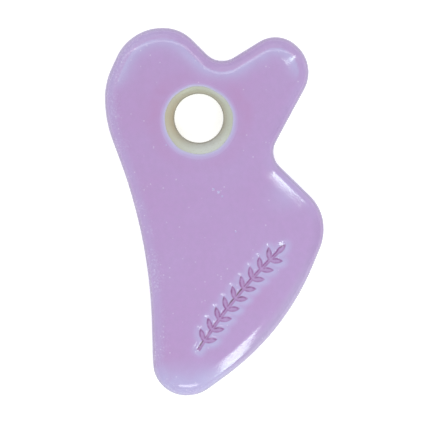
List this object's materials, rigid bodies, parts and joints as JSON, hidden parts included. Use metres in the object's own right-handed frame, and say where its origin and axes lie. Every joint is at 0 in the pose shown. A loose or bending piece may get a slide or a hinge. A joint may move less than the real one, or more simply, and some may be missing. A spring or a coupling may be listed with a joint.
{
  "type": "gua sha scraper",
  "caption": "Hand-sized massage scraper: a flat lilac-glazed stoneware slab with two lobes, a side notch, a narrowing foot and a bare-clay finger hole.",
  "frame": {"origin": "middle of the outline, on the back face that the slab lies on", "axes": "+Z out of the front face through the thickness, +Y along the long axis towards the two lobes, +X towards the notched side"},
  "size_m": [0.0654, 0.11, 0.0085],
  "materials": {
    "bare_stoneware": "matt fired clay",
    "lilac_glaze": "glossy translucent glaze"
  },
  "bodies": {
    "root": {"clay_body": "bare_stoneware", "glaze_coat": "lilac_glaze"}
  },
  "joints": []
}
